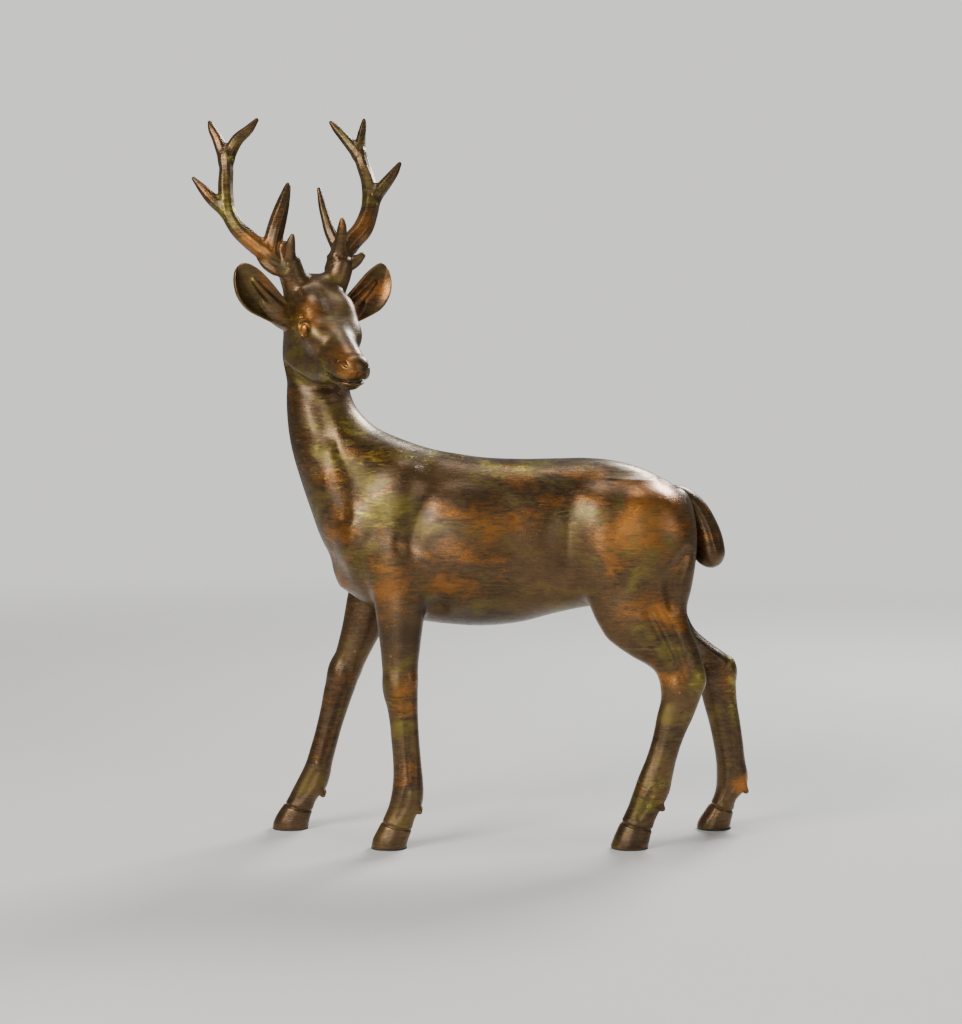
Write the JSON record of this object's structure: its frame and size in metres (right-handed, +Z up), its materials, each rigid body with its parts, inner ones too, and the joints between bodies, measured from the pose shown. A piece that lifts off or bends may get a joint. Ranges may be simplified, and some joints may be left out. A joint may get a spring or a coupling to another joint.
{
  "type": "stag statuette",
  "caption": "Standing bronze stag with branched antlers, head turned to its left side, legs in a walking stance, on felt-padded hooves.",
  "frame": {"origin": "on the surface the stag stands on, under the middle of the whole object's box", "axes": "+Z up, +X from the head end to the tail end, so the body faces -X, +Y towards the animal's right side, so the head is turned towards -Y"},
  "size_m": [0.383, 0.1267, 0.4985],
  "materials": {
    "patinated_bronze": "dark brown patina with rubbed green and rust",
    "bronze_rod": "as drawn",
    "felt": "felt"
  },
  "bodies": {
    "root": {"torso": "patinated_bronze", "neck": "patinated_bronze", "head": "patinated_bronze", "ear_left": "patinated_bronze", "ear_right": "patinated_bronze", "antler_left": "patinated_bronze", "antler_right": "patinated_bronze", "foreleg_left": "patinated_bronze", "foreleg_right": "patinated_bronze", "hindleg_left": "patinated_bronze", "hindleg_right": "patinated_bronze", "tail": "patinated_bronze", "belly_plug": "patinated_bronze", "neck_sleeve": "bronze_rod", "head_sleeve": "bronze_rod", "neck_sleeve_pins": "bronze_rod", "head_sleeve_pins": "bronze_rod", "antler_pin_left": "bronze_rod", "antler_pin_right": "bronze_rod", "ear_pin_left": "bronze_rod", "ear_pin_right": "bronze_rod", "tail_pin": "bronze_rod", "foreleg_left_dowel": "bronze_rod", "foreleg_right_dowel": "bronze_rod", "hindleg_left_dowel": "bronze_rod", "hindleg_right_dowel": "bronze_rod", "foreleg_left_pad": "felt", "foreleg_right_pad": "felt", "hindleg_left_pad": "felt", "hindleg_right_pad": "felt"}
  },
  "joints": []
}
